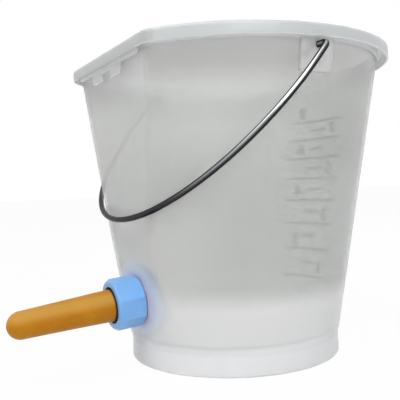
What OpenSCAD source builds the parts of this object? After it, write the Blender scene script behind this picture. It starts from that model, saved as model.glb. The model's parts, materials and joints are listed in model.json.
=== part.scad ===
// Calf feeder bucket: a clear tapered bucket with one flat side, a wire bail, and a rubber teat on a ball valve.
// Millimetres, +Z up. The origin lies on the bucket's axis, on the surface that it stands on.
// The flat side and the teat face -Y, and the bail's ears are on +X and -X.

/* [Bucket] */
// Overall height
bucket_h = 274.5; // [250:0.5:300]
// Outer diameter of the lip
lip_d = 300; // [290:1:320]
// Depth of the lip's hanging skirt, round the bucket
lip_h = 10.5; // [8:0.5:14]
// Thickness of the lip
lip_t = 2.2; // [1.6:0.1:3]
// Overhang of the lip past the wall
lip_over = 10; // [8:0.5:16]
// Outer diameter of the wall at the underside of the floor
wall_foot_d = 197.6; // [180:0.2:210]
// Thickness of the wall
wall_t = 2.5; // [1.8:0.1:3.5]
// Height of the underside of the floor
floor_z = 21.5; // [15:0.5:26]
// Thickness of the floor
floor_t = 3; // [2:0.1:4]
// Outer diameter of the foot ring where it stands
base_d = 196; // [184:0.5:198]
// Step from the wall in to the foot ring
foot_step = 1.2; // [0.6:0.1:1.8]
// Thickness of the foot ring
foot_t = 2.8; // [2:0.1:4]
// Chamfer round the bottom edge of the foot ring
foot_edge = 0.8; // [0.4:0.1:1.2]

/* [Flat side] */
// Depth of the flat side below the round wall where the lip's skirt ends
flat_in_top = 23.4; // [20:0.1:28]
// Depth of the flat side below the round wall at the underside of the floor
flat_in_foot = 2; // [1.4:0.1:5]
// Overhang of the lip past the flat wall
flat_over = 6.9; // [5:0.1:12]
// Radius of the lip's corners beside the flat edge
lip_corner_r = 20; // [12:1:40]
// Step from the lip's face back to the deeper skirt and its tab
tab_in = 2; // [0.5:0.1:2]
// Width of the deeper skirt on the flat side
skirt_w = 140; // [110:1:142]
// Depth of the deeper skirt
skirt_h = 14; // [12:0.5:17]
// Width of the hanging tab
tab_w = 66; // [50:1:80]
// Depth of the hanging tab
tab_h = 23; // [20:0.5:30]
// Width of the notch in the tab
notch_w = 23; // [16:1:30]
// Height of the notch
notch_h = 7; // [4:0.5:8]
// Radius of the lower corners of the skirt, tab and notch
drop_r = 3; // [2:0.1:3.2]

/* [Bail] */
// Diameter of the wire
wire_d = 5; // [4:0.1:5.6]
// Room between the raised bail and the widest part of the bucket
rim_gap = 1; // [0.6:0.1:3]
// Distance from the pivots to the centre of the bow
bail_arm = 16.5; // [12:0.5:30]
// Radius of the bend from each arm into its ear
bend_r = 6; // [5.5:0.1:7]
// Room between the hanging bail and the wall that it rests on
bail_gap = 0.4; // [0.3:0.1:3]
// Distance of the pivots in front of the bucket's axis
pivot_front = 5; // [0:0.5:8]
// Distance of the pivots below the lip's skirt
pivot_drop = 4.2; // [3.9:0.1:8]
// Width of the ear pads
pad_w = 30; // [20:1:40]
// Height of the ear pads below the lip's skirt
pad_h = 24; // [16:1:34]
// Thickness of the ear pads
pad_t = 3.5; // [2:0.1:4]
// Room round the wire in the ears
ear_gap = 0.4; // [0.2:0.05:0.6]
// Radius of the hook on each end of the wire
hook_r = 5; // [4:0.1:7]
// Straight tail of the hook
hook_tail = 4; // [2:0.5:8]
// Room between the hook and the inside of the wall
hook_gap = 0.8; // [0.5:0.1:2]

/* [Valve] */
// Height of the valve's axis where it meets the flat wall
valve_z = 58.7; // [52:0.1:90]
// Outer diameter of the stem, over its thread
stem_d = 34; // [31:0.5:36]
// Length of the stem outside the wall
stem_l = 16; // [14:0.5:20]
// Room between the stem and the hole in the wall
hole_gap = 0.3; // [0.2:0.05:0.6]
// Width of the flange round the stem
flange_rim = 10; // [7:0.5:11]
// Thickness of the flange
flange_t = 7.5; // [4:0.5:9]
// Number of grip scallops round the flange
scallops = 8; // [4:1:12]
// Radius of each grip scallop
scallop_r = 3; // [2:0.1:3.5]
// Depth of each grip scallop
scallop_depth = 1.5; // [1:0.1:2]
// Width of the gasket round the stem
gasket_rim = 8; // [5:0.5:9]
// Thickness of the gasket
gasket_t = 3; // [2:0.1:4]
// Diameter of the valve ball
ball_d = 16.6; // [15:0.1:17.5]
// Room between the ball and its guide ribs, and its stop
ball_gap = 0.2; // [0.15:0.05:0.4]
// Height of the guide ribs
rib_h = 2.5; // [1.5:0.1:2.8]
// Thickness of the guide ribs
rib_w = 3; // [2:0.1:4]
// Width of the ball's seat
seat_w = 1.8; // [1.2:0.1:2.4]
// Thickness of the wall that holds the seat
seat_t = 6.5; // [3:0.1:7.5]
// Thickness of the ball cage
cage_t = 4; // [3:0.1:5]
// Width of the shoulder that the cage sits on
cage_step = 1; // [0.6:0.1:1.4]
// Width of the cage's bars
bar_w = 3; // [2:0.1:4]
// Width of the cage's ring
cage_ring = 3; // [2.2:0.1:4]

/* [Teat and nut] */
// Diameter of the teat where it leaves its flange
teat_d = 28.4; // [26:0.1:29]
// Diameter of the teat where its round end starts
teat_tip_d = 23; // [20:0.1:25]
// Length of the teat from its flange to its tip
teat_l = 93.8; // [80:0.1:110]
// Thickness of the rubber
teat_wall = 4; // [3:0.1:5]
// Thickness of the rubber at the tip
teat_end_t = 5; // [4:0.1:7]
// Thickness of the teat's flange
teat_flange_t = 4; // [3:0.1:5]
// Diameter of the milk hole in the tip
milk_hole_d = 3; // [2:0.1:5]
// Room between the teat and the nut's front opening
teat_gap = 1.8; // [0.6:0.1:2]
// Thickness of the nut between its thread and its flats
nut_wall = 3.7; // [3:0.1:5]
// Thickness of the nut's front
nut_front_t = 5; // [4:0.1:7]
// Depth of the chamfer round the nut's front
nut_chamfer = 3; // [1.5:0.1:4]
// Depth of the chamfer round the nut's back
nut_back_chamfer = 1.2; // [0.6:0.1:2]
// Reach of both chamfers into the flats, past the middle of each flat
chamfer_reach = 0.5; // [0.2:0.1:1]
// Turn of the nut's first corner from the horizontal
nut_turn = 14.5; // [0:0.5:45]
// Room between the nut's thread and the stem
thread_gap = 0.3; // [0.2:0.05:0.5]
// Room between faces that are screwed together
seat_gap = 0.15; // [0.1:0.05:0.3]

/* [Hidden] */
$fn = 96;

// Reach of the blocks that cut away what lies past a plane
big = 3 * lip_d;
// Overlap that carries a cut clear of the faces that it opens
cut = 1;

// Amount by which an arc crosses the edge that it runs into
arc_cross = 0.01;

// Wall and flat side, as straight lines of height
skirt_z = bucket_h - lip_h;
wall_top_d = lip_d - 2 * lip_over;
flat_top = wall_top_d / 2 - flat_in_top;
flat_foot = wall_foot_d / 2 - flat_in_foot;
lip_flat = flat_top + flat_over;
cone_slope = (wall_top_d - wall_foot_d) / 2 / (skirt_z - floor_z);
cone_angle = atan(cone_slope);
flat_slope = (flat_top - flat_foot) / (skirt_z - floor_z);
flat_angle = atan(flat_slope);
function wall_r(z) = wall_foot_d / 2 + cone_slope * (z - floor_z);
function flat_at(z) = flat_foot + flat_slope * (z - floor_z);

// Bail and ears
// The bow clears the wider of the lip and the ears
widest_r = max(lip_d / 2, wall_r(bucket_h) + pad_t);
bail_half = widest_r + rim_gap + wire_d / 2;
pivot_z = skirt_z - pivot_drop;
pad_z = skirt_z - pad_h;
hook_reach = hook_r + hook_tail;
// The hook's place is rounded down to a tenth of a millimetre
hook_x = floor(10 * (wall_r(pivot_z - hook_reach) - wall_t - hook_gap - wire_d / 2)) / 10;

// Room from the wall to the wire at t degrees round the bow, with the bail hung at a tilt from straight down
function bow_room(t, tilt) =
    let (
        drop = bail_arm + bail_half * sin(t),
        x = bail_half * cos(t),
        y = pivot_front + drop * sin(tilt),
        z = pivot_z - drop * cos(tilt),
        off_cone = (norm([x, y]) - wall_r(z)) * cos(cone_angle),
        off_flat = (y - flat_at(z)) * cos(flat_angle)
    )
    max(off_cone, off_flat) - wire_d / 2;
function bail_room(tilt) = min([for (t = [0 : 90]) bow_room(t, tilt)]);
// Tilt at which the hanging bail comes to rest, found by halving the range between low and high
function rest_tilt(low, high, steps) =
    let (middle = (low + high) / 2)
    steps == 0 ? high
        : bail_room(middle) < bail_gap ? rest_tilt(middle, high, steps - 1)
        : rest_tilt(low, middle, steps - 1);
bail_tilt = rest_tilt(0, 90, 20);

// Valve, teat and nut, as places along the valve's axis, from the wall's outside outwards
inside_s = -wall_t * cos(flat_angle);
gasket_s = inside_s - gasket_t;
flange_s = gasket_s - flange_t;
cage_s = stem_l - cage_t;
ball_s = cage_s - ball_gap - ball_d / 2;
teat_s = stem_l + seat_gap;
teat_front_s = teat_s + teat_flange_t;
nut_back_s = thread_gap;
nut_lip_s = teat_front_s + seat_gap;
nut_front_s = nut_lip_s + nut_front_t;
flange_d = stem_d + 2 * flange_rim;
gasket_d = stem_d + 2 * gasket_rim;
chamber_d = ball_d + 2 * (ball_gap + rib_h);
cage_d = chamber_d + 2 * cage_step;
inlet_d = ball_d - 2 * seat_w;
thread_d = stem_d + 2 * thread_gap;
nut_across = thread_d + 2 * nut_wall;
nut_sides = 8;
// The cage's bars stand between the guide ribs
rib_turns = [0, 90];
bar_turns = [45, 135];
nut_corner_r = nut_across / 2 / cos(180 / nut_sides);

// Solid with the bucket's own form between two heights, drawn in by inset all round
module bucket_form(inset, z0, z1) {
    difference() {
        translate([0, 0, z0])
            cylinder(h = z1 - z0, r1 = wall_r(z0) - inset, r2 = wall_r(z1) - inset);
        translate([0, inset - flat_at(0), 0])
            rotate([flat_angle, 0, 0])
                translate([-big / 2, -big, -big / 2])
                    cube(big);
    }
}

// Outline of the lip: a circle with one flat edge and round corners, drawn in by inset
module lip_outline(inset) {
    r = lip_d / 2 - inset;
    f = lip_flat - inset;
    c = lip_corner_r - inset;
    centre = [sqrt((r - c) * (r - c) - (f - c) * (f - c)), c - f];
    to_flat = [0, -c];
    to_round = centre * c / (r - c);
    difference() {
        intersection() {
            circle(r);
            translate([-r, -f])
                square([2 * r, f + r]);
        }
        for (side = [0, 1])
            mirror([side, 0])
                translate(centre)
                    difference() {
                        polygon([[0, 0], 2 * to_flat, 2 * (to_flat + to_round), 2 * to_round]);
                        circle(c + arc_cross);
                    }
    }
}

// Lip: a flat top with a skirt hanging from its edge
module lip() {
    translate([0, 0, bucket_h - lip_t])
        linear_extrude(lip_t)
            lip_outline(0);
    translate([0, 0, skirt_z])
        linear_extrude(lip_h)
            difference() {
                lip_outline(0);
                lip_outline(lip_t);
            }
}

// Flat shape that hangs from the line y = 0, with round lower corners
module drop_shape(w, h, r) {
    translate([-w / 2, r - h])
        square([w, h - r]);
    translate([r - w / 2, -h])
        square([w - 2 * r, r]);
    for (side = [-1, 1])
        translate([side * (w / 2 - r), r - h])
            circle(r);
}

// Notch with round upper corners, open at its lower edge
module notch_shape(w, h, r) {
    rotate(180)
        drop_shape(w, h + cut, r);
}

// Deeper skirt on the flat side, with the notched tab that hooks over a rail
module front_skirt() {
    translate([0, tab_in + lip_t - lip_flat, bucket_h])
        rotate([90, 0, 0])
            linear_extrude(lip_t)
                difference() {
                    union() {
                        drop_shape(skirt_w, skirt_h, drop_r);
                        drop_shape(tab_w, tab_h, drop_r);
                    }
                    translate([0, -tab_h - cut])
                        notch_shape(notch_w, notch_h, drop_r);
                }
}

// Thick pad on the wall that takes one end of the bail
module ear_pad() {
    pad_top = bucket_h - lip_t;
    intersection() {
        translate([0, 0, pad_z])
            cylinder(h = pad_top - pad_z, r1 = wall_r(pad_z) + pad_t, r2 = wall_r(pad_top) + pad_t);
        translate([0, -pivot_front - pad_w / 2, pad_z])
            cube([big, pad_w, pad_top - pad_z]);
    }
}

// Ring under the floor that the bucket stands on
module foot_ring() {
    r0 = base_d / 2;
    r1 = wall_r(floor_z) - foot_step;
    rotate_extrude()
        polygon([
            [r0 - foot_t, 0],
            [r0 - foot_edge, 0],
            [r0, foot_edge],
            [r1, floor_z],
            [r1 - foot_t, floor_z]
        ]);
}

// Bucket, moulded in one piece
module bucket() {
    color([0.86, 0.88, 0.87, 0.6])
        difference() {
            union() {
                bucket_form(0, floor_z, bucket_h);
                foot_ring();
                lip();
                front_skirt();
                ear_pad();
                mirror([1, 0, 0])
                    ear_pad();
            }
            bucket_form(wall_t, floor_z + floor_t, bucket_h + cut);
            translate([0, -pivot_front, pivot_z])
                rotate([0, 90, 0])
                    cylinder(h = 2 * (wall_r(bucket_h) + pad_t), d = wire_d + 2 * ear_gap, center = true);
            on_valve_axis(inside_s - cut)
                cylinder(h = 2 * cut - inside_s, d = stem_d + 2 * hole_gap);
        }
}

// One end of the bail: arm, bend into the ear, straight through it, and the hook inside
module bail_end() {
    translate([bail_half, 0, -bail_arm])
        cylinder(h = bail_arm - bend_r, d = wire_d);
    translate([bail_half - bend_r, 0, -bend_r])
        rotate([90, 0, 0])
            wire_bend(bend_r, 90);
    translate([hook_x + hook_r, 0, 0])
        rotate([0, 90, 0])
            cylinder(h = bail_half - bend_r - hook_x - hook_r, d = wire_d);
    translate([hook_x + hook_r, 0, -hook_r])
        rotate([90, 0, 0])
            rotate(90)
                wire_bend(hook_r, 90);
    translate([hook_x, 0, -hook_reach])
        cylinder(h = hook_tail, d = wire_d);
}

// Wire bent round the Z axis
module wire_bend(r, turn) {
    rotate_extrude(angle = turn)
        translate([r, 0])
            circle(d = wire_d);
}

// Wire bail, hanging against the flat side
module bail() {
    color([0.72, 0.73, 0.75])
        translate([0, -pivot_front, pivot_z])
            rotate([-bail_tilt, 0, 0]) {
                translate([0, 0, -bail_arm])
                    rotate([-90, 0, 0])
                        wire_bend(bail_half, 180);
                bail_end();
                mirror([1, 0, 0])
                    bail_end();
            }
}

// Puts a shape on the valve's axis, with its +Z pointing out of the flat wall
module on_valve_axis(s) {
    translate([0, -flat_at(valve_z), valve_z])
        rotate([90 + flat_angle, 0, 0])
            translate([0, 0, s])
                children();
}

// Ring or tube on its own +Z
module tube(h, outer_d, inner_d) {
    difference() {
        cylinder(h = h, d = outer_d);
        translate([0, 0, -cut])
            cylinder(h = h + 2 * cut, d = inner_d);
    }
}

// Valve body: flange inside the bucket, stem through the wall, ball chamber and seat
module valve_body() {
    chamber_l = cage_s - flange_s - seat_t;
    color([0.36, 0.62, 0.88])
        on_valve_axis(flange_s) {
            difference() {
                union() {
                    cylinder(h = flange_t, d = flange_d);
                    cylinder(h = stem_l - flange_s, d = stem_d);
                }
                for (i = [0 : scallops - 1])
                    rotate(360 / scallops * (i + 0.5))
                        translate([flange_d / 2 + scallop_r - scallop_depth, 0, -cut])
                            cylinder(h = flange_t + 2 * cut, r = scallop_r);
                translate([0, 0, -cut])
                    cylinder(h = seat_t + 2 * cut, d = inlet_d);
                translate([0, 0, seat_t])
                    cylinder(h = chamber_l + cut, d = chamber_d);
                translate([0, 0, cage_s - flange_s])
                    cylinder(h = cage_t + cut, d = cage_d);
            }
            intersection() {
                translate([0, 0, seat_t])
                    tube(chamber_l, chamber_d + 2 * cage_step, ball_d + 2 * ball_gap);
                for (turn = rib_turns)
                    rotate(turn)
                        translate([-stem_d / 2, -rib_w / 2, seat_t])
                            cube([stem_d, rib_w, chamber_l]);
            }
        }
}

// Gasket between the flange and the wall
module inner_gasket() {
    color([0.72, 0.16, 0.15])
        on_valve_axis(gasket_s)
            tube(gasket_t, gasket_d, stem_d);
}

// Non-return ball, lying against its cage
module valve_ball() {
    color([0.92, 0.92, 0.9])
        on_valve_axis(ball_s)
            sphere(d = ball_d);
}

// Cage: a ring with crossed bars that keeps the ball in the stem
module ball_cage() {
    color([0.9, 0.92, 0.94])
        on_valve_axis(cage_s) {
            tube(cage_t, cage_d, cage_d - 2 * cage_ring);
            intersection() {
                cylinder(h = cage_t, d = cage_d - cage_ring);
                for (turn = bar_turns)
                    rotate(turn)
                        translate([-cage_d / 2, -bar_w / 2, 0])
                            cube([cage_d, bar_w, cage_t]);
            }
        }
}

// Half outline of a tapered body with a round end, from the axis outwards
module round_ended(r0, r1, l) {
    polygon([[0, 0], [r0, 0], [r1, l - r1], [0, l - r1]]);
    intersection() {
        translate([0, l - r1])
            circle(r1);
        translate([0, l - r1])
            square(r1);
    }
}

// Teat: hollow tapered rubber with a round end, a milk hole and a flange
module teat() {
    bore_l = teat_flange_t + teat_l - teat_end_t;
    color([0.78, 0.53, 0.17])
        on_valve_axis(teat_s)
            difference() {
                rotate_extrude() {
                    square([stem_d / 2, teat_flange_t]);
                    translate([0, teat_flange_t])
                        round_ended(teat_d / 2, teat_tip_d / 2, teat_l);
                }
                rotate_extrude()
                    round_ended(teat_d / 2 - teat_wall, teat_tip_d / 2 - teat_wall, bore_l);
                translate([0, 0, bore_l - teat_end_t])
                    cylinder(h = 2 * teat_end_t + cut, d = milk_hole_d);
            }
}

// Union nut: eight flats, chamfered ends, a threaded bore and a round front opening for the teat
module union_nut() {
    nut_l = nut_front_s - nut_back_s;
    face_r = nut_across / 2 - chamfer_reach;
    outer_r = nut_corner_r + cut;
    lean = (outer_r - face_r) / (nut_corner_r - face_r);
    color([0.45, 0.69, 0.93])
        on_valve_axis(nut_back_s)
            difference() {
                intersection() {
                    rotate(nut_turn)
                        cylinder(h = nut_l, r = nut_corner_r, $fn = nut_sides);
                    rotate_extrude()
                        polygon([
                            [0, 0],
                            [face_r, 0],
                            [outer_r, nut_back_chamfer * lean],
                            [outer_r, nut_l - nut_chamfer * lean],
                            [face_r, nut_l],
                            [0, nut_l]
                        ]);
                }
                translate([0, 0, -cut])
                    cylinder(h = nut_lip_s - nut_back_s + cut, d = thread_d);
                cylinder(h = nut_l + cut, d = teat_d + 2 * teat_gap);
            }
}

bucket();
bail();
valve_body();
inner_gasket();
valve_ball();
ball_cage();
teat();
union_nut();
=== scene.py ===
"""Looks of a calf feeder bucket, in metres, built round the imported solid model.

Z is up along the bucket's axis. The flat side and the teat face -Y, and the bail's ears are on +X and -X.
"""

import json
import logging
import math
from dataclasses import dataclass
from enum import Enum
from typing import Callable, Dict, List, Optional, Sequence, Tuple, Union

import bmesh
import bpy
from mathutils import Matrix, Vector


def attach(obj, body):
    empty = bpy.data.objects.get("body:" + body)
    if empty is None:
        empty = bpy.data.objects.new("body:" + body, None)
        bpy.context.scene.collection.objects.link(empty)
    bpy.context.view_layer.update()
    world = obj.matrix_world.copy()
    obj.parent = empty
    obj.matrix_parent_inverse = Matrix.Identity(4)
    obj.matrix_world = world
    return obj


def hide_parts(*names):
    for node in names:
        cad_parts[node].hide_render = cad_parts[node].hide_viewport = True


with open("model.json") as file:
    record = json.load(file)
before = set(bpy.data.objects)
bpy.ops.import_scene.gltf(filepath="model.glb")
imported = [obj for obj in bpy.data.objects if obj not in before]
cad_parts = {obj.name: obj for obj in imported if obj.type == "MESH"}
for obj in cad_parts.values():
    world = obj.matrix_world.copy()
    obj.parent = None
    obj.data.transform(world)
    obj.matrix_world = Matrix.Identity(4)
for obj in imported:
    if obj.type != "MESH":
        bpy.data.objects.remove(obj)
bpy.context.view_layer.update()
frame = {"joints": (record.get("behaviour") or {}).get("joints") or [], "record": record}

LOG = logging.getLogger("feeder_bucket")
SMOOTH_ANGLE = math.radians(38)
MM = 0.001
CUBIC_MM_PER_LITRE = 1e6
ON_AXIS = 1e-9

Colour = Tuple[float, float, float, float]
Triple = Tuple[float, float, float]
Pair = Tuple[float, float]
Profile = List[Pair]
Shape = Callable[[float, float, float], float]
Step = Tuple[float, float]
Band = Tuple[Step, Step]

WHITE: Colour = (1.0, 1.0, 1.0, 1.0)


class Body(Enum):
    """The bodies that pieces ride on."""

    BUCKET = "bucket"
    BAIL = "bail"
    TEAT = "teat"
    NUT = "nut"
    BALL = "ball"


class Slot(Enum):
    """The record's material slots."""

    CLEAR = "clear_plastic"
    STEEL = "steel_wire"
    BLUE = "blue_plastic"
    PALE_BLUE = "pale_blue_plastic"
    RED = "red_rubber"
    AMBER = "amber_rubber"
    WHITE = "white_plastic"


# Node maths


class Signal:
    """An output socket of a node tree, on which Python's operators add Math nodes."""

    def __init__(self, graph: "Graph", socket: bpy.types.NodeSocket) -> None:
        """Keeps the socket and the graph that it belongs to."""
        self.graph = graph
        self.socket = socket

    def _math(self, operation: str, first: "Number", second: "Number") -> "Signal":
        """The output of a Math node on two values."""
        return self.graph.node("ShaderNodeMath", {"operation": operation}, {0: first, 1: second})

    def __add__(self, other: "Number") -> "Signal":
        """This plus other."""
        return self._math("ADD", self, other)

    def __radd__(self, other: "Number") -> "Signal":
        """Other plus this."""
        return self._math("ADD", other, self)

    def __sub__(self, other: "Number") -> "Signal":
        """This less other."""
        return self._math("SUBTRACT", self, other)

    def __rsub__(self, other: "Number") -> "Signal":
        """Other less this."""
        return self._math("SUBTRACT", other, self)

    def __mul__(self, other: "Number") -> "Signal":
        """This times other."""
        return self._math("MULTIPLY", self, other)

    def __rmul__(self, other: "Number") -> "Signal":
        """Other times this."""
        return self._math("MULTIPLY", other, self)

    def __truediv__(self, other: "Number") -> "Signal":
        """This divided by other."""
        return self._math("DIVIDE", self, other)

    def __rtruediv__(self, other: "Number") -> "Signal":
        """Other divided by this."""
        return self._math("DIVIDE", other, self)

    def __pow__(self, other: "Number") -> "Signal":
        """This to the power of other."""
        return self._math("POWER", self, other)

    def most(self, other: "Number") -> "Signal":
        """The larger of this and other."""
        return self._math("MAXIMUM", self, other)

    def rise(self, low: float, high: float) -> "Signal":
        """A smooth step from 0 at low to 1 at high, which is below low for a step down."""
        settings = {"interpolation_type": "SMOOTHSTEP"}
        return self.graph.node("ShaderNodeMapRange", settings, {0: self, 1: low, 2: high, 3: 0.0, 4: 1.0})

    def between(self, start: Step, end: Step) -> "Signal":
        """A smooth step up over start and down again over end."""
        return self.rise(*start) * self.rise(*end)


Number = Union[Signal, float]


class Graph:
    """The node tree of a material, of the world or of a mould."""

    def __init__(self, tree: bpy.types.NodeTree) -> None:
        """Empties a node tree."""
        self.tree = tree
        self.tree.nodes.clear()

    def node(
        self,
        kind: str,
        settings: Optional[Dict[str, object]] = None,
        inputs: Optional[Dict[Union[int, str], object]] = None,
        output: Union[int, str] = 0,
    ) -> Signal:
        """Adds a node.

        Args:
            kind: Blender's name of the node's type.
            settings: The node's own properties, set first.
            inputs: A value or a Signal for each socket, by name or number.
            output: The socket to return, by name or number.

        Returns:
            One output socket.
        """
        made = self.tree.nodes.new(kind)
        for name, value in (settings or {}).items():
            setattr(made, name, value)
        for key, value in (inputs or {}).items():
            if isinstance(value, Signal):
                self.tree.links.new(value.socket, made.inputs[key])
            else:
                made.inputs[key].default_value = value
        return Signal(self, made.outputs[output])

    def place(self) -> Signal:
        """The point on the surface, in the object's coordinates."""
        return self.node("ShaderNodeTexCoord", output="Object")

    def axis(self, name: str) -> Signal:
        """One coordinate of the point on the surface, X, Y or Z."""
        return self.node("ShaderNodeSeparateXYZ", inputs={0: self.place()}, output=name)

    def along(self, way: Vector, start: Vector) -> Signal:
        """Measures the point on the surface along a direction.

        Args:
            way: The direction.
            start: A point at which the distance is zero.

        Returns:
            The distance.
        """
        inputs = {0: self.place(), 1: way}
        dot = self.node("ShaderNodeVectorMath", {"operation": "DOT_PRODUCT"}, inputs, "Value")
        return dot - start.dot(way)

    def attribute(self, name: str) -> Signal:
        """A number that the mesh carries."""
        return self.node("ShaderNodeAttribute", {"attribute_name": name}, output="Fac")

    def noise(self, scale: float, detail: float = 2.0, stretch: Triple = (1.0, 1.0, 1.0)) -> Signal:
        """Soft noise from 0 to 1, by waves to the metre, finer layers and stretch along the axes."""
        where = self.node("ShaderNodeMapping", inputs={"Vector": self.place(), "Scale": stretch})
        return self.node("ShaderNodeTexNoise", inputs={"Vector": where, "Scale": scale, "Detail": detail})

    def blend(self, share: Number, first: Union[Colour, Signal], second: Union[Colour, Signal]) -> Signal:
        """Mixes two colours, with that share of the second."""
        return self.node("ShaderNodeMix", {"data_type": "RGBA"}, {0: share, 6: first, 7: second}, output=2)

    def layers(self, base: Colour, *coats: Tuple[Number, Union[Colour, Signal]]) -> Signal:
        """Lays colours over each other.

        Args:
            base: The lowest colour.
            coats: The share and the colour of each coat, upwards.

        Returns:
            The mixed colour.
        """
        for share, colour in coats:
            base = self.blend(share, base, colour)
        return base

    def bump(self, height: Signal, depth: float) -> Signal:
        """A normal bumped by a relief from 0 to 1, of that depth in metres."""
        return self.node("ShaderNodeBump", inputs={"Height": height, "Distance": depth, "Strength": 1.0})

    def principled(self, **sockets: object) -> Signal:
        """A Principled shader, with each socket's name written with _ for a space."""
        inputs = {name.replace("_", " "): value for name, value in sockets.items()}
        return self.node("ShaderNodeBsdfPrincipled", inputs=inputs)

    def surface(self, shader: Signal) -> None:
        """Sends a shader to the tree's output.

        Args:
            shader: The finished shader.
        """
        in_world = isinstance(self.tree.id_data, bpy.types.World)
        end = self.tree.nodes.new("ShaderNodeOutputWorld" if in_world else "ShaderNodeOutputMaterial")
        self.tree.links.new(shader.socket, end.inputs["Surface"])


def new_graph(name: str) -> Tuple[bpy.types.Material, Graph]:
    """Makes an empty material.

    Args:
        name: The material's name.

    Returns:
        The material and the graph of its nodes.
    """
    material = bpy.data.materials.new(name)
    material.use_nodes = True
    return material, Graph(material.node_tree)


# Finishes


@dataclass(frozen=True)
class MilkyPlastic:
    """Clear, milky polypropylene, paler where it is thick, with painted light and painted shade in its
    colour.

    Painted light: a glow where the floor lights it from inside, the lower front, a halo round the valve,
    and near white along the far rim, in the lip's hollow and on the edges under the lip. Painted shade:
    the upper wall, its right side, under the lip and the lip's flat face.

    A Step says where a mask starts and where it is full, in metres: along an axis (_x, _y, _z), over the
    lip's lower edge (_lip), over the floor (_floor), past the plain round wall (_out), past the radius
    of the wall's foot or of the lip (_r), or from the valve's axis (_reach).
    """

    # Colours: shadow is painted shade, and also the darker side of random clouding; milk is painted light;
    # flat_lip is the lip's flat face in painted shade; foot is near white for the thicker foot and floor,
    # with painted light on them, and is painted light along the far rim and the edges under the lip
    wall: Colour = (0.695, 0.703, 0.685, 1.0)
    shadow: Colour = (0.455, 0.462, 0.44, 1.0)
    thick: Colour = (0.645, 0.665, 0.667, 1.0)
    milk: Colour = (0.90, 0.903, 0.885, 1.0)
    flat_lip: Colour = (0.585, 0.60, 0.595, 1.0)
    foot: Colour = (0.97, 0.972, 0.98, 1.0)
    pad: Colour = (0.705, 0.705, 0.688, 1.0)
    tint: Colour = (0.56, 0.65, 0.84, 1.0)
    blush: Colour = (0.82, 0.64, 0.72, 1.0)
    wall_cover: float = 0.52
    thick_cover: float = 0.84
    foot_cover: float = 0.80
    floor_cover: float = 0.95
    glow_cover: float = 0.22
    flange_cover: float = 0.9
    ear_out: Step = (0.0012, 0.0024)
    ear_floor: Step = (0.0, 0.01)
    body_lip: Step = (-0.001, 0.002)
    front_y: Step = (-0.1175, -0.119)
    tab_share: float = 0.35
    flat_out: Step = (-0.003, -0.006)
    foot_floor: Step = (0.014, -0.006)
    inside_floor: Step = (0.008, 0.005)
    inside_r: Step = (-0.004, -0.008)
    glow_floor: Step = (0.055, 0.031)
    dim_z: Step = (0.235, 0.15)
    dim_share: float = 0.3
    dim_flat: float = 0.2
    shadow_lip: Step = (-0.045, -0.0135)
    lit_flat: float = 0.4
    lit_front: float = 0.9
    pale_y: Step = (-0.05, -0.11)
    pale_z: Band = ((0.045, 0.065), (0.16, 0.125))
    pale_share: float = 0.45
    side_x: Step = (0.0, 0.06)
    side_y: Step = (-0.05, 0.02)
    side_z: Band = ((0.15, 0.185), (0.25, 0.21))
    side_share: float = 0.5
    halo_y: Step = (-0.075, -0.09)
    halo_flat: float = 1.4
    flange_reach: Step = (0.066, 0.036)
    flange_share: float = 0.2
    tint_reach: Step = (0.055, 0.030)
    tint_share: float = 0.75
    blush_reach: Step = (0.036, 0.026)
    blush_share: float = 0.8
    rim_out: Step = (-0.0008, -0.0018)
    rim_y: Step = (-0.114, -0.11)
    rim_lip: Step = (-0.008, 0.0)
    hollow_r: Step = (-0.0014, -0.0018)
    edge_lip: Band = ((-0.005, -0.0005), (0.0007, 0.0003))
    edge_out: Step = (0.005, 0.006)
    cloud: float = 0.10
    cloud_scale: float = 9.0
    streak: float = 0.08
    streak_scale: float = 30.0
    streak_stretch: Triple = (1.0, 1.0, 0.12)
    rough: float = 0.28
    rough_range: float = 0.12
    rough_scale: float = 60.0
    grain_scale: float = 700.0
    grain_depth: float = 0.00004
    coat: float = 0.3
    coat_rough: float = 0.22
    scatter: float = 0.7
    scatter_depth: float = 0.004

    def material(
        self, lip_r: float, lip_z: float, foot_z: float, wall_foot_r: float, cone_slope: float, valve_z: float
    ) -> bpy.types.Material:
        """Builds the nodes.

        Args:
            lip_r: Radius of the lip.
            lip_z: Height of the lip's lower edge.
            foot_z: Height of the floor, below which the foot ring starts.
            wall_foot_r: Radius of the wall at that height.
            cone_slope: Growth of the wall's radius with height.
            valve_z: Height of the blue valve, which tints the wall that it sits on.

        Returns:
            The material.
        """
        material, g = new_graph("milky_plastic")
        x, y, z = g.axis("X"), g.axis("Y"), g.axis("Z")
        over_lip, over_floor = z - lip_z, z - foot_z
        radius = (x * x + y * y) ** 0.5
        proud = radius - (over_floor * cone_slope + wall_foot_r)
        above = (z - valve_z) * self.halo_flat
        away = (x * x + above * above) ** 0.5
        # Where each form of the bucket is
        ear = proud.rise(*self.ear_out) * over_floor.rise(*self.ear_floor)
        lip = over_lip.rise(*self.body_lip)
        front = y.rise(*self.front_y)
        flat = proud.rise(*self.flat_out)
        floor = over_floor.rise(*self.inside_floor) * (radius - wall_foot_r).rise(*self.inside_r)
        foot = over_floor.rise(*self.foot_floor).most(floor)
        # Painted light and painted shade: where light gathers in the plastic, and where it is shaded
        glow = over_floor.rise(*self.glow_floor)
        dim = z.rise(*self.dim_z) * (self.dim_share - flat * self.dim_flat)
        lit = (flat * self.lit_flat).most(front * self.lit_front)
        under_lip = over_lip.rise(*self.shadow_lip) * (1.0 - lit)
        pale = y.rise(*self.pale_y) * z.between(*self.pale_z)
        side = x.rise(*self.side_x) * y.rise(*self.side_y) * z.between(*self.side_z)
        rim = proud.rise(*self.rim_out) * y.rise(*self.rim_y) * over_lip.rise(*self.rim_lip)
        hollow = lip * (radius - lip_r).rise(*self.hollow_r) * (1.0 - front)
        edge = over_lip.between(*self.edge_lip) * proud.rise(*self.edge_out).most(front)
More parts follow.
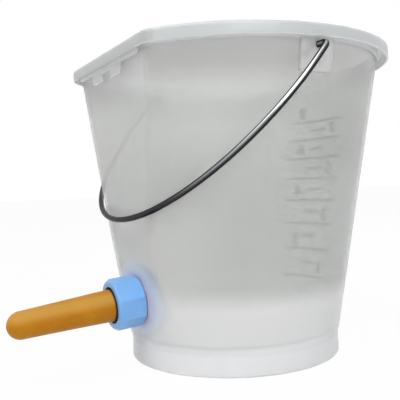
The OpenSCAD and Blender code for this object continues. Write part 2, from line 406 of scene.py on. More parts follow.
        # Where the flange and its gasket show through the wall; round the valve the wall is also painted a
        # little paler, a painted light over the shade by the nut
        facing = y.rise(*self.halo_y)
        near_flange, near_valve, near_seal = (
            away.rise(*reach) * facing for reach in (self.flange_reach, self.tint_reach, self.blush_reach)
        )
        cloud = (g.noise(self.cloud_scale) - 0.5) * self.cloud
        streaks = g.noise(self.streak_scale, detail=3.0, stretch=self.streak_stretch)
        uneven = cloud + (streaks - 0.5) * self.streak
        # The wall's colour under coats of painted shade (dim, side, under_lip), painted light (pale, glow and
        # the halo round the valve), the flange and gasket showing through, the thicker pad and lip, and
        # random clouding
        body = g.layers(
            self.wall,
            (dim, self.shadow),
            (side * self.side_share, self.shadow),
            (pale * self.pale_share, self.milk),
            (glow, self.milk),
            (under_lip, self.shadow),
            (near_flange * self.flange_share, self.milk),
            (near_valve * self.tint_share, self.tint),
            (near_seal * self.blush_share, self.blush),
            (ear, self.pad),
            # The lip is thicker and paler; its flat face is darker, a painted shade
            (lip.most(front * self.tab_share), g.blend(front * lip, self.thick, self.flat_lip)),
            # Painted light in near white: the far rim, the lip's hollow, the step under the lip and the lower
            # edge of the skirt and tab
            (rim.most(hollow).most(edge).most(g.attribute("hem")), self.foot),
            # The foot and the floor inside in near white: their thicker plastic, with painted light where
            # light falls on the floor
            (foot, self.foot),
            # Random clouding, paler and darker
            (uneven.most(0.0), self.foot),
            ((uneven * -1.0).most(0.0), self.shadow),
        )
        cover = ear.most(lip) * (self.thick_cover - self.wall_cover) + self.wall_cover
        cover = cover.most(foot * self.foot_cover).most(floor * self.floor_cover)
        cover = cover.most(glow * self.glow_cover + self.wall_cover).most(near_flange * self.flange_cover)
        g.surface(
            g.principled(
                Base_Color=body,
                Roughness=g.noise(self.rough_scale) * self.rough_range + self.rough,
                Alpha=cover,
                Normal=g.bump(g.noise(self.grain_scale), self.grain_depth),
                Coat_Weight=self.coat,
                Coat_Roughness=self.coat_rough,
                Subsurface_Weight=self.scatter,
                Subsurface_Radius=(1.0, 1.0, 1.0),
                Subsurface_Scale=self.scatter_depth,
            )
        )
        return material


@dataclass(frozen=True)
class DrawnWire:
    """Drawn steel wire painted nearly black for the unlit surroundings it reflects, with a painted highlight
    stripe along its upper side that is left out over the middle of the bow, fine lines and a few dull spots.
    """

    # Colour of the painted highlight stripe
    bright: Colour = (0.46, 0.465, 0.475, 1.0)
    rim: Colour = (0.62, 0.62, 0.63, 1.0)
    # The steel's base colour, painted nearly black as a painted shade for the unlit surroundings it reflects
    dark: Colour = (0.028, 0.028, 0.030, 1.0)
    dull: Colour = (0.045, 0.045, 0.048, 1.0)
    stripe_start: Step = (-0.15, 0.7)
    stripe_end: Step = (0.98, 0.78)
    # Where the painted highlight also runs under the leg on -X, and where it is left out over the middle of
    # the bow
    far_leg_x: Step = (0.0, -0.06)
    grip_x: Step = (0.15, 0.07)
    grip_share: float = 0.96
    waves_along: float = 6.0
    waves_around: float = 40.0
    line_step: Step = (0.35, 0.75)
    line_share: float = 0.45
    line_depth: float = 0.00003
    spot_scale: float = 160.0
    spot_step: Step = (0.58, 0.72)
    spot_share: float = 0.8
    rough: float = 0.16
    rough_range: float = 0.16

    def material(self, pivot: Vector, up: Vector, wire_r: float) -> bpy.types.Material:
        """Builds the nodes, which read the wire's own attributes along and around.

        Args:
            pivot: A point on the middle plane of the bail.
            up: The direction of the bail's upper side, square to that plane.
            wire_r: The wire's radius.

        Returns:
            The material.
        """
        material, g = new_graph("drawn_wire")
        side = g.along(up, pivot) * (1 / wire_r)
        # Painted highlight: a stripe along the upper side and under the leg on -X, left out over the middle
        # of the bow, which keeps the steel's painted shade
        upper, under = (
            face.rise(*self.stripe_start) ** 2.0 * face.rise(*self.stripe_end) for face in (side, side * -1.0)
        )
        across = g.axis("X")
        painted_shade_middle = ((across * across) ** 0.5).rise(*self.grip_x)
        painted_highlight_mask = upper.most(under * across.rise(*self.far_leg_x)) * (1.0 - painted_shade_middle * self.grip_share)
        waves = {0: g.attribute("along") * self.waves_along, 1: g.attribute("around") * self.waves_around}
        where = g.node("ShaderNodeCombineXYZ", inputs=waves)
        lines = g.node("ShaderNodeTexNoise", inputs={"Vector": where, "Scale": 1.0, "Detail": 2.0})
        spots = g.noise(self.spot_scale, detail=3.0).rise(*self.spot_step)
        worn = (lines.rise(*self.line_step) * self.line_share).most(spots * self.spot_share)
        g.surface(
            g.principled(
                Base_Color=g.layers(self.dark, (worn, self.dull), (painted_highlight_mask, self.bright)),
                Roughness=worn * self.rough_range + self.rough,
                Metallic=1.0,
                Specular_Tint=self.rim,
                Normal=g.bump(lines, self.line_depth),
            )
        )
        return material


@dataclass(frozen=True)
class MouldedPlastic:
    """Opaque moulded plastic with a satin skin."""

    name: str
    colour: Colour
    shade: Colour
    cloud_scale: float = 45.0
    cloud_step: Step = (0.3, 0.75)
    cloud_share: float = 0.7
    flow_scale: float = 120.0
    flow_stretch: Triple = (1.0, 0.15, 1.0)
    rough: float = 0.28
    rough_range: float = 0.16
    speck_scale: float = 1400.0
    speck_depth: float = 0.00003
    coat: float = 0.15
    coat_rough: float = 0.25

    def material(self) -> bpy.types.Material:
        """Builds the nodes.

        Returns:
            The material.
        """
        material, g = new_graph(self.name)
        cloud = g.noise(self.cloud_scale, detail=3.0).rise(*self.cloud_step)
        flow = g.noise(self.flow_scale, stretch=self.flow_stretch)
        g.surface(
            g.principled(
                Base_Color=g.blend(cloud * self.cloud_share, self.colour, self.shade),
                Roughness=flow * self.rough_range + self.rough,
                Normal=g.bump(g.noise(self.speck_scale, detail=1.0), self.speck_depth),
                Coat_Weight=self.coat,
                Coat_Roughness=self.coat_rough,
            )
        )
        return material


@dataclass(frozen=True)
class SoftRubber:
    """Moulded rubber with a soft sheen, a painted highlight along its upper side, and painted shade where it
    runs into a gap.
    """

    name: str
    colour: Colour
    shade: Colour
    # Colours of the painted highlight along the upper side and of the painted shade in the gap
    bloom: Colour
    grime: Colour = (0.05, 0.026, 0.012, 1.0)
    bloom_band: Band = ((0.0, 0.55), (1.0, 0.72))
    bloom_share: float = 0.6
    grime_fade: float = 0.0016
    mottle_scale: float = 70.0
    mottle_step: Step = (0.32, 0.7)
    mottle_share: float = 0.6
    dot_scale: float = 420.0
    dot_step: Step = (0.62, 0.74)
    dot_share: float = 0.7
    pore_scale: float = 1100.0
    pore_depth: float = 0.00005
    rough: float = 0.40
    rough_range: float = 0.12
    gloss: float = 0.2

    def material(self, place: Matrix, radius: float, clamp: float = -1.0) -> bpy.types.Material:
        """Builds the nodes.

        Args:
            place: Place of the piece's axis, with its Y axis pointing up.
            radius: The piece's outer radius.
            clamp: Distance along the axis up to which painted shade darkens the piece in the gap round it,
            or a place behind it for none.

        Returns:
            The material.
        """
        material, g = new_graph(self.name)
        up, out = place.col[1].to_3d(), place.col[2].to_3d()
        level = g.along(up, place.translation) * (1 / radius)
        hidden = g.along(out, place.translation).rise(clamp + self.grime_fade, clamp)
        mottle = g.noise(self.mottle_scale, detail=4.0).rise(*self.mottle_step)
        dots = g.noise(self.dot_scale, detail=1.0).rise(*self.dot_step)
        skin = g.layers(
            self.colour,
            ((mottle * self.mottle_share).most(dots * self.dot_share), self.shade),
            # Painted highlight along the upper side, then painted shade in the gap
            (level.between(*self.bloom_band) * self.bloom_share, self.bloom),
            (hidden, self.grime),
        )
        g.surface(
            g.principled(
                Base_Color=skin,
                Roughness=mottle * self.rough_range + self.rough,
                Normal=g.bump(g.noise(self.pore_scale), self.pore_depth),
                Specular_IOR_Level=self.gloss,
            )
        )
        return material


@dataclass(frozen=True)
class ScaleInk:
    """Dark ink on the raised litre scale, thin in places."""

    ink: Colour = (0.012, 0.02, 0.05, 1.0)
    worn: Colour = (0.06, 0.08, 0.13, 1.0)
    wear_scale: float = 220.0
    wear_step: Step = (0.42, 0.7)
    rough: float = 0.4
    rough_range: float = 0.2

    def material(self) -> bpy.types.Material:
        """Builds the nodes.

        Returns:
            The material.
        """
        material, g = new_graph("scale_ink")
        wear = g.noise(self.wear_scale, detail=3.0).rise(*self.wear_step)
        rough = wear * self.rough_range + self.rough
        g.surface(g.principled(Base_Color=g.blend(wear, self.ink, self.worn), Roughness=rough))
        return material


# Meshes


def spread(first: float, last: float, steps: int) -> List[float]:
    """Even values from first to last, both among them."""
    return [first + (last - first) * i / steps for i in range(steps + 1)]


def smooth(share: float) -> float:
    """A share from 0 to 1, eased at both ends."""
    return share * share * (3 - 2 * share)


def arc(r: float, s: float, radius: float, start: float, end: float, steps: int = 4) -> Profile:
    """Points of an arc about (r, s), between angles in degrees: 0 is away from the axis and 90 along it."""
    angles = [math.radians(t) for t in spread(start, end, steps)]
    return [(r + radius * math.cos(a), s + radius * math.sin(a)) for a in angles]


def line(first: Pair, last: Pair, steps: int) -> Profile:
    """Points along a straight stretch of a profile, without its ends."""
    return list(zip(*(spread(a, b, steps)[1:-1] for a, b in zip(first, last))))


def turn_angles(count: int) -> List[float]:
    """Even angles round the axis, in radians."""
    return [2 * math.pi * i / count for i in range(count)]


def to_mesh(shell: bmesh.types.BMesh) -> bpy.types.Mesh:
    """Turns a working mesh into a plain one.

    Args:
        shell: The working mesh, which is freed.

    Returns:
        The mesh.
    """
    mesh = bpy.data.meshes.new("piece")
    shell.to_mesh(mesh)
    shell.free()
    return mesh


def loft(rings: Sequence[Sequence[Vector]], closed: bool = False) -> bpy.types.Mesh:
    """Skins a row of rings, with faces that point outwards.

    Args:
        rings: Rings of as many points each, or of one point for a pole.
        closed: Whether the last ring runs on into the first.

    Returns:
        The mesh.
    """
    shell = bmesh.new()
    rows = [[shell.verts.new(point) for point in ring] for ring in rings]
    pairs = list(zip(rows, rows[1:])) + ([(rows[-1], rows[0])] if closed else [])
    for lower, upper in pairs:
        count = max(len(lower), len(upper))
        for i in range(count):
            corners = [lower[i % len(lower)], lower[(i + 1) % count % len(lower)]]
            corners += [upper[(i + 1) % count % len(upper)], upper[i % len(upper)]]
            shell.faces.new(list(dict.fromkeys(corners)))
    bmesh.ops.recalc_face_normals(shell, faces=shell.faces)
    return to_mesh(shell)


def turned(profile: Profile, angles: Sequence[float], shape: Optional[Shape] = None) -> bpy.types.Mesh:
    """Makes a turned piece on its own axis.

    Args:
        profile: Distance from the axis and place along it for each ring, in millimetres. A profile
            that starts on the axis runs from pole to pole, and any other is closed round its bore.
        angles: Angles round the axis.
        shape: Gives the distance at an angle and place, where the piece isn't round.

    Returns:
        The mesh.
    """
    rings = []
    for r, s in profile:
        if r < ON_AXIS:
            rings.append([Vector((0.0, 0.0, s)) * MM])
            continue
        radii = [shape(r, a, s) if shape else r for a in angles]
        rings.append([Vector((q * math.cos(a), q * math.sin(a), s)) * MM for q, a in zip(radii, angles)])
    return loft(rings, closed=len(rings[0]) > 1)


def edged_bar(size: Triple, start: float, s: float, edge: float) -> bpy.types.Mesh:
    """Makes a bar with worked edges that lies along +X. Millimetres.

    Args:
        size: Its length, width and height.
        start: Where it starts, from the axis.
        s: Where it starts along the axis.
        edge: Width of its bevels.

    Returns:
        The mesh.
    """
    block = bmesh.new()
    bmesh.ops.create_cube(block, size=1.0)
    middle = Vector((start + size[0] / 2, 0.0, s + size[2] / 2))
    for vert in block.verts:
        vert.co = (Vector(a * b for a, b in zip(vert.co, size)) + middle) * MM
    bmesh.ops.bevel(block, geom=block.edges[:], offset=edge * MM, segments=2, profile=0.5, affect="EDGES")
    return to_mesh(block)


def path_mesh(paths: Sequence[Sequence[Vector]]) -> bpy.types.Mesh:
    """Makes open lines of edges, for Geometry Nodes to follow.

    Args:
        paths: The points of each line.

    Returns:
        The mesh.
    """
    edges = []
    start = 0
    for path in paths:
        edges += [(start + i, start + i + 1) for i in range(len(path) - 1)]
        start += len(path)
    mesh = bpy.data.meshes.new("path")
    mesh.from_pydata([point for path in paths for point in path], edges, [])
    return mesh


def to_object(name: str, data: bpy.types.ID) -> bpy.types.Object:
    """Puts a mesh, a curve, a lamp or a camera in the scene at the origin.

    Args:
        name: The object's name.
        data: What it shows.

    Returns:
        The object.
    """
    made = bpy.data.objects.new(name, data)
    bpy.context.scene.collection.objects.link(made)
    return made


def evaluated_mesh(obj: bpy.types.Object) -> bpy.types.Mesh:
    """The mesh of an object with its modifiers applied, and the object taken away.

    Args:
        obj: A helper object.

    Returns:
        A plain mesh.
    """
    view = bpy.context.evaluated_depsgraph_get()
    mesh = bpy.data.meshes.new_from_object(obj.evaluated_get(view))
    bpy.data.objects.remove(obj)
    return mesh


def drilled(mesh: bpy.types.Mesh, drills: Sequence[bpy.types.Mesh]) -> bpy.types.Mesh:
    """Cuts holes in a mesh.

    Args:
        mesh: The piece.
        drills: Closed meshes to take away from it.

    Returns:
        The drilled mesh.
    """
    piece = to_object(mesh.name, mesh)
    helpers = [to_object(drill.name, drill) for drill in drills]
    for helper in helpers:
        cut = piece.modifiers.new("cut", "BOOLEAN")
        cut.operation = "DIFFERENCE"
        cut.solver = "EXACT"
        cut.object = helper
    made = evaluated_mesh(piece)
    for helper in helpers:
        bpy.data.objects.remove(helper)
    return made


def add_piece(
    name: str,
    mesh: bpy.types.Mesh,
    material: bpy.types.Material,
    body: Body,
    slot: Slot,
    replaces: Sequence[str] = (),
    place: Optional[Matrix] = None,
) -> None:
    """Dresses a finished mesh, hangs it under its body's empty and hides the solid nodes that it stands for.

    Args:
        name: The piece's name.
        mesh: Its mesh.
        material: Its finish.
        body: The body that it rides on.
        slot: The record's slot for its finish, which is not used.
        replaces: The solid nodes that it stands for.
        place: Where a mesh that was made on its own axis goes.
    """
    if place:
        mesh.transform(place)
    mesh.name = name
    mesh.materials.clear()
    mesh.materials.append(material)
    mesh.shade_smooth()
    mesh.set_sharp_from_angle(angle=SMOOTH_ANGLE)
    piece = to_object(name, mesh)
    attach(piece, body.value)
    if replaces:
        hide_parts(*replaces)
    LOG.info("%s: %d faces on %s", name, len(mesh.polygons), body.value)


# Geometry Nodes


class NodeMould(Graph):
    """A Geometry Nodes tree with named inputs, which turns a helper mesh into a finished one."""

    def __init__(self, name: str, **knobs: str) -> None:
        """Starts a tree.

        Args:
            name: The tree's name.
            knobs: The type of each named input, such as Float, Int or Material.
        """
        super().__init__(bpy.data.node_groups.new(name, "GeometryNodeTree"))
        sockets = self.tree.interface
        for way in ("INPUT", "OUTPUT"):
            sockets.new_socket("Geometry", in_out=way, socket_type="NodeSocketGeometry")
        self.identifiers: Dict[str, str] = {}
        for knob, kind in knobs.items():
            made = sockets.new_socket(knob, in_out="INPUT", socket_type="NodeSocket" + kind)
            self.identifiers[knob] = made.identifier

    def given(self, name: str) -> Signal:
        """A named input, inside the tree."""
        return self.node("NodeGroupInput", output=name)

    def note(self, geometry: Signal, name: str, value: Signal) -> Signal:
        """Geometry with a number noted on its points."""
        return self.node(
            "GeometryNodeStoreNamedAttribute",
            {"data_type": "FLOAT", "domain": "POINT"},
            {0: geometry, "Name": name, "Value": value},
        )

    def close(self, geometry: Signal) -> None:
        """Ends the tree in real geometry with its material.

        Args:
            geometry: The finished geometry.
        """
        real = self.node("GeometryNodeRealizeInstances", inputs={0: geometry})
        dressed = self.node("GeometryNodeSetMaterial", inputs={0: real, "Material": self.given("Material")})
        end = self.tree.nodes.new("NodeGroupOutput")
        self.tree.links.new(dressed.socket, end.inputs[0])

    def cast(self, mesh: bpy.types.Mesh, **knobs: object) -> bpy.types.Mesh:
        """Runs the tree on a helper mesh.

        Args:
            mesh: The helper mesh.
            knobs: A value for each named input.

        Returns:
            The finished mesh.
        """
        helper = to_object(mesh.name, mesh)
        modifier = helper.modifiers.new(self.tree.name, "NODES")
        modifier.node_group = self.tree
        for name, value in knobs.items():
            modifier[self.identifiers[name]] = value
        helper.update_tag()
        return evaluated_mesh(helper)


def sweep_mould() -> NodeMould:
    """Builds a tree that draws round bars along lines of edges, and notes length and turn on their points.

    Returns:
        The tree, with inputs Radius, Sides and Material.
    """
    mould = NodeMould("swept_bar", Radius="Float", Sides="Int", Material="Material")
    path = mould.node("GeometryNodeMeshToCurve", inputs={0: mould.given("Geometry")})
    size = {"Resolution": mould.given("Sides"), "Radius": mould.given("Radius")}
    ring = mould.node("GeometryNodeCurvePrimitiveCircle", {"mode": "RADIUS"}, size)
    path = mould.note(path, "along", mould.node("GeometryNodeSplineParameter", output="Length"))
    ring = mould.note(ring, "around", mould.node("GeometryNodeSplineParameter", output="Factor"))
    mould.close(mould.node("GeometryNodeCurveToMesh", inputs={0: path, 1: ring, "Fill Caps": True}))
    return mould


def ring_mould() -> NodeMould:
    """Builds a tree that sets copies of a mesh round the Z axis.

    Returns:
        The tree, with inputs Count, Start and Material.
    """
    mould = NodeMould("ring_of_copies", Count="Int", Start="Float", Material="Material")
    where = {"Count": mould.given("Count"), "Offset": (0.0, 0.0, 0.0)}
    points = mould.node("GeometryNodeMeshLine", inputs=where)
    step = 2 * math.pi / mould.given("Count")
    angle = mould.node("GeometryNodeInputIndex") * step + mould.given("Start")
    turn = mould.node("ShaderNodeCombineXYZ", inputs={"Z": angle})
    copied = {"Points": points, "Instance": mould.given("Geometry"), "Rotation": turn}
    mould.close(mould.node("GeometryNodeInstanceOnPoints", inputs=copied))
    return mould


# Bucket


@dataclass(frozen=True)
class Outline:
    """A level outline: a circle with one flat edge in front and round corners between. Millimetres."""

    r: float
    flat: float
    corner: float

    def inset(self, depth: float) -> "Outline":
        """The same outline drawn in all round."""
        return Outline(self.r - depth, self.flat - depth, self.corner - depth)

    def toward(self, other: "Outline", share: float) -> "Outline":
        """An outline between this one and another."""
        pairs = ((self.r, other.r), (self.flat, other.flat), (self.corner, other.corner))
        return Outline(*(a + (b - a) * share for a, b in pairs))

    def scaled(self, share: float) -> "Outline":
        """The same outline made smaller about the axis."""
        return Outline(self.r * share, self.flat * share, self.corner * share)

    def reach(self, angle: float) -> float:
        """Distance from the axis to the outline.

        Args:
            angle: Direction in radians, 0 in front and growing towards +X.

        Returns:
            The distance.
        """
        a = abs(angle)
        if self.flat >= self.r:
            return self.r
        depth = self.flat - self.corner
        side = math.sqrt((self.r - self.corner) ** 2 - depth**2)
        if a <= math.atan2(side, self.flat):
            return self.flat / math.cos(a)
        if a >= math.atan2(side, depth):
            return self.r
        along = side * math.sin(a) + depth * math.cos(a)
        return along + math.sqrt(along**2 - side**2 - depth**2 + self.corner**2)


# Degrees round a drop's lower corner at which the skirt gets points
DROP_TURNS = (0, 20, 40, 60, 75)
# Stretches of degrees from the front round to the back: first, last and number of steps
SIDE_TURNS = ((31.0, 37.5, 13), (38.0, 47.0, 9), (48.0, 180.0, 66))
# Height over the ear pad's lower edge, and the share of its thickness there
PAD_FOOT = ((1.0, 1.0), (0.5, 0.9), (0.2, 0.6), (0.0, 0.3), (-0.2, 0.0))
# Half the stretch of close directions at a pad's edge, in widths of that edge
PAD_SPREAD = 1.5
# Shares of the way from the axis to the edge at which the floor and its underside get rings
FLOOR_SHARES = (0.25, 0.5, 0.75, 0.92)
UNDER_SHARES = (0.9, 0.7, 0.45, 0.2)
# Shares of the way over the lip, and of the way down the foot, at which they get rings
LIP_SHARES = (0.4, 1.0)
FOOT_SHARES = (0.35, 0.7)


@dataclass
class Bucket:
    """The bucket, moulded in one piece. Millimetres and degrees."""

    height: float = 274.5
    lip_r: float = 150.0
    lip_h: float = 10.5
    lip_t: float = 2.2
    lip_round: float = 2.4
    lip_edge: float = 0.7
    lip_flat: float = 123.5
    lip_corner: float = 20.0
    lip_rows: Pair = (4.5, 7.0)
    lip_fillet: float = 0.5
    brim: float = 1.0
    ease: float = 0.3
    wall_t: float = 2.5
    wall_top_r: float = 140.0
    wall_foot_r: float = 98.8
    flat_top: float = 116.6
    flat_foot: float = 96.8
    corner: float = 7.0
    floor_z: float = 21.5
    floor_t: float = 3.0
    floor_fillet: float = 4.0
    wall_rows: int = 20
    flat_columns: int = 35
    foot_r: float = 97.6
    foot_blend: float = 4.5
    base_r: float = 98.0
    base_round: float = 2.6
    foot_t: float = 2.8
    tab_in: float = 2.0
    skirt_half: float = 70.0
    skirt_h: float = 14.0
    skirt_back: float = 4.0
    tab_half: float = 33.0
    tab_h: float = 23.0
    notch_half: float = 11.5
    notch_h: float = 7.0
    drop_r: float = 3.0
    hem_h: float = 1.2
    hem_mark: float = 0.9
    step: float = 0.06
    hair: float = 0.05
    pad_front: float = 20.0
    pad_back: float = 10.0
    pad_h: float = 24.0
    pad_t: float = 3.5
    pad_soft: float = 0.3
    pad_span: float = 27.0
    least_turn: float = 0.04
    back_turn: float = 0.5
    ear_hole_r: float = 2.9
    ear_sides: int = 32
    ear_reach: float = 160.0
    valve_hole_r: float = 17.3
    valve_sides: int = 72
    valve_reach: Pair = (-8.0, 6.0)

    def __post_init__(self) -> None:
        """Works out the slopes of the wall and the directions in which every ring has its points."""
        self.skirt_z = self.height - self.lip_h
        self.under_z = self.height - self.lip_t
        rise = self.skirt_z - self.floor_z
        self.cone_slope = (self.wall_top_r - self.wall_foot_r) / rise
        self.flat_slope = (self.flat_top - self.flat_foot) / rise
        self.lip = Outline(self.lip_r, self.lip_flat, self.lip_corner)
        pad_r = self.wall(self.skirt_z).r + self.pad_t
        self.pad_from = math.pi / 2 - math.asin(self.pad_front / pad_r)
        self.pad_to = math.pi / 2 + math.asin(self.pad_back / pad_r)
        half = self.half_angles()
        self.angles = half + [-a for a in reversed(half[1:-1])]

    def wall(self, z: float) -> Outline:
        """Draws the wall's outside.

        Args:
            z: Height.

        Returns:
            Its level outline.
        """
        up = z - self.floor_z
        flat = self.flat_foot + self.flat_slope * up
        return Outline(self.wall_foot_r + self.cone_slope * up, flat, self.corner)

    def inner(self, z: float, depth: float = 0.0) -> Outline:
        """The outline of the wall's inside at a height, drawn in by a further depth."""
        return self.wall(z).inset(self.wall_t + depth)

    def drop_line(self, x: float) -> float:
        """Height of the lower edge of the lip's skirt, tab and notch.

        Args:
            x: Distance from the middle of the flat side.

        Returns:
            The height.
        """
        x = abs(x)
        r = self.drop_r

        def lift(half: float) -> float:
            """Height of a round corner over its straight edge, at that half width."""
            past = max(0.0, x - (half - r))
            return r - math.sqrt(max(0.0, r * r - past * past))

        if x < self.notch_half:
            return self.height - (self.tab_h - self.notch_h + lift(self.notch_half))
        if x < self.tab_half:
            return self.height - (self.tab_h - lift(self.tab_half))
        if x < self.skirt_half:
            return self.height - max(self.lip_h, self.skirt_h - lift(self.skirt_half))
        return self.skirt_z

    def above_drop(self, up: float) -> Callable[[float], float]:
        """Gives the height that is so far above the drop line, from the distance to the middle."""
        return lambda x: min(self.skirt_z, self.drop_line(x) + up)

    def half_angles(self) -> List[float]:
        """Picks directions on one side, close together where the shape changes.

        Returns:
            The directions in radians, from the front round to the back.
        """
        xs = spread(0.0, self.skirt_half, self.flat_columns)
        for half in (self.notch_half, self.tab_half, self.skirt_half):
            xs += [half - self.drop_r * (1 - math.sin(math.radians(t))) for t in DROP_TURNS]
            xs += [half - self.step, half + self.step]
        angles = [math.atan2(x, self.lip_flat) for x in xs]
        soft = math.radians(PAD_SPREAD * self.pad_soft)
        angles += [edge + t for edge in (self.pad_from, self.pad_to) for t in spread(-soft, soft, 6)]
        angles += [math.radians(t) for stretch in SIDE_TURNS for t in spread(*stretch)]
        kept = [0.0]
        for a in sorted(angles):
            if a - kept[-1] > math.radians(self.least_turn) and a < math.pi - math.radians(self.back_turn):
                kept.append(a)
        return kept + [math.pi]

    def pad(self, angle: float) -> float:
        """Share of the ear pad's thickness at a direction, from 0 to 1."""
        inside = min(abs(angle) - self.pad_from, self.pad_to - abs(angle)) / math.radians(self.pad_soft)
        return smooth(min(1.0, max(0.0, inside + 0.5)))

    def point(self, reach: float, angle: float, z: float) -> Vector:
        """A point at a distance from the axis, in metres."""
        return Vector((reach * math.sin(angle), -reach * math.cos(angle), z)) * MM

    def ring(self, outline: Outline, z: float, pad: float = 0.0) -> List[Vector]:
        """Points of a level ring in metres, with that share of the ear pads' thickness."""
        return [self.point(outline.reach(a) + pad * self.pad_t * self.pad(a), a, z) for a in self.angles]

    def hem(self, side: Pair, depth: float, level: Callable[[float], float]) -> List[Vector]:
        """Points of one ring along the lip's lower edge, which drops on the flat side.

        Args:
            side: Depth behind the lip's face, and height, round the bucket.
            depth: Depth behind the lip's face on the deeper skirt and tab.
            level: Gives the height there, from the distance to the middle of the flat side.

        Returns:
            The points, in metres.
        """
        round_side, deep_side = self.lip.inset(side[0]), self.lip.inset(depth)
        points = []
        for a in self.angles:
            x = self.lip_flat * math.tan(a) if abs(a) < math.pi / 4 else self.lip_r
            if abs(x) < self.skirt_half:
                points.append(self.point(deep_side.reach(a), a, level(x)))
            else:
                points.append(self.point(round_side.reach(a), a, side[1]))
        return points

    def inside_rings(self) -> List[List[Vector]]:
        """Builds the inside.

        Returns:
            Rings from the middle of the floor up to the lip's inner edge.
        """
        floor, fillet = self.floor_z + self.floor_t, self.floor_fillet
        corner = arc(fillet, floor + fillet, fillet, -90, -180, 5)
        levels = spread(floor + fillet, self.height - self.brim, self.wall_rows)[1:]
        rings = [[Vector((0, 0, floor)) * MM]]
        rings += [self.ring(self.inner(floor, fillet).scaled(k), floor) for k in FLOOR_SHARES]
        rings += [self.ring(self.inner(z, d), z) for d, z in corner]
        rings += [self.ring(self.inner(z), z) for z in levels]
        low = self.ease * self.brim
        rings.append(self.ring(self.inner(self.height, -low), self.height - low))
        return rings + [self.ring(self.inner(self.height, -self.brim), self.height)]

    def lip_rings(self) -> List[List[Vector]]:
        """Builds the lip.

        Returns:
            Rings over the lip and down its skirt, and back up behind it to the wall.
        """
        top, r = self.wall(self.height), self.lip_round
        rings = [self.ring(top.toward(self.lip.inset(r), k), self.height) for k in LIP_SHARES]
        rings += [self.ring(self.lip.inset(d), z) for d, z in arc(r, self.height - r, r, 90, 180, 5)[1:]]
        rings += [self.ring(self.lip, self.height - down) for down in self.lip_rows]
        e, low, back, tab = self.lip_edge, self.skirt_z, self.lip_t, self.tab_in
        rings += [self.ring(self.lip.inset(d), z) for d, z in arc(e, low + e, e, 180, 270, 3)]
        # Round the bucket, rings that only the deeper skirt needs lie a hair apart
        rings.append(self.hem((e + self.hair, low), tab, lambda x: low))
        rings.append(self.hem((e + 1.4 * self.hair, low), tab, self.above_drop(self.hem_h)))
        for i, (d, up) in enumerate(arc(e, e, e, 180, 270, 3), 2):
            rings.append(self.hem((e + i * self.hair, low), tab + d, self.above_drop(up)))
        for d, up in arc(back - e, e, e, 270, 360, 3) + [(back, self.hem_h)]:
            rings.append(self.hem((d, low + up), tab + d, self.above_drop(up)))
        f, soft = self.lip_fillet, self.ease * self.lip_fillet
        for d, down in ((0.0, self.skirt_back), (0.0, f), (soft, soft), (f, 0.0)):
            z = self.under_z - down
            rings.append(self.hem((back + d, z), tab + back + d, lambda x: z))
        for out, down in ((f, 0.0), (soft, soft)):
            rings.append(self.ring(self.wall(self.under_z).inset(-out), self.under_z - down, pad=1.0))
        return rings

    def outside_rings(self) -> List[List[Vector]]:
        """Builds the outside.

        Returns:
            Rings down the wall and the foot, and up to the middle of the floor's underside.
        """
        first, pad_z = self.under_z - self.lip_fillet, self.skirt_z - self.pad_h
        foot_top, foot_z = self.floor_z + self.foot_blend, self.floor_z - self.foot_blend
        levels = [(z, 1.0) for z in spread(first, first - self.pad_span, 9)]
        levels += [(pad_z + up, share) for up, share in PAD_FOOT]
        levels += [(z, 0.0) for z in spread(pad_z - 1.0, foot_top, 18)]
        rings = [self.ring(self.wall(z), z, pad=share) for z, share in levels]
        foot = Outline(self.foot_r, self.foot_r - self.hair, self.corner)
        for share in spread(0.0, 1.0, 7)[1:]:
            z = foot_top + (foot_z - foot_top) * share
            rings.append(self.ring(self.wall(z).toward(foot, smooth(share)), z))
        base, r = Outline(self.base_r, self.base_r, self.corner), self.base_round
        rings += [self.ring(foot.toward(base, k), foot_z + (r - foot_z) * k) for k in FOOT_SHARES]
        rings += [self.ring(base.inset(d), z) for d, z in arc(r, r, r, 180, 270, 5)]
        # Depth past the foot's thickness, and height, up inside the foot
        hollow = ((0.3, 0.3), (0.55, 10.0), (0.8, 20.0), (1.2, self.floor_z - 0.4), (2.2, self.floor_z))
        rings += [self.ring(base.inset(self.foot_t + d), z) for d, z in hollow]
        rings += [self.ring(base.scaled(k), self.floor_z) for k in UNDER_SHARES]
        return rings + [[Vector((0, 0, self.floor_z)) * MM]]

    def build(self, finish: MilkyPlastic, valve: Matrix, pivot: Vector) -> None:
        """Makes the bucket.

        Args:
            finish: Its plastic.
            valve: Place of the valve's axis on the flat wall.
            pivot: The middle of the bail's axis.
        """
        mesh = loft(self.inside_rings() + self.lip_rings() + self.outside_rings())
        ears = Matrix.Translation(pivot) @ Matrix.Rotation(math.pi / 2, 4, "Y")
        ear_span = (-self.ear_reach, self.ear_reach)
        drills = [
            self.drill(self.ear_hole_r, ear_span, self.ear_sides, ears),
            self.drill(self.valve_hole_r, self.valve_reach, self.valve_sides, valve),
        ]
        mesh = drilled(mesh, drills)
        self.mark_hem(mesh)
        sizes = [size * MM for size in (self.lip_r, self.skirt_z, self.floor_z, self.wall_foot_r)]
        material = finish.material(*sizes, self.cone_slope, valve.translation.z)
        add_piece("bucket_shell", mesh, material, Body.BUCKET, Slot.CLEAR, ["bucket"])

    def mark_hem(self, mesh: bpy.types.Mesh) -> None:
        """Notes the points on the lower edge of the deeper skirt and tab, which the plastic paints near
        white:
        a painted light on that shaded edge.

        Args:
            mesh: The bucket's mesh.
        """
        back = self.lip_flat - self.tab_in - self.lip_t - self.lip_fillet
        note = mesh.attributes.new("hem", "FLOAT", "POINT")
        for vert in mesh.vertices:
            x, y, z = vert.co / MM
            x = self.lip_flat * x / -y if y < -back else self.lip_r
            low = abs(x) < self.skirt_half and z - self.drop_line(x) < self.hem_mark
            note.data[vert.index].value = 1.0 if low else 0.0

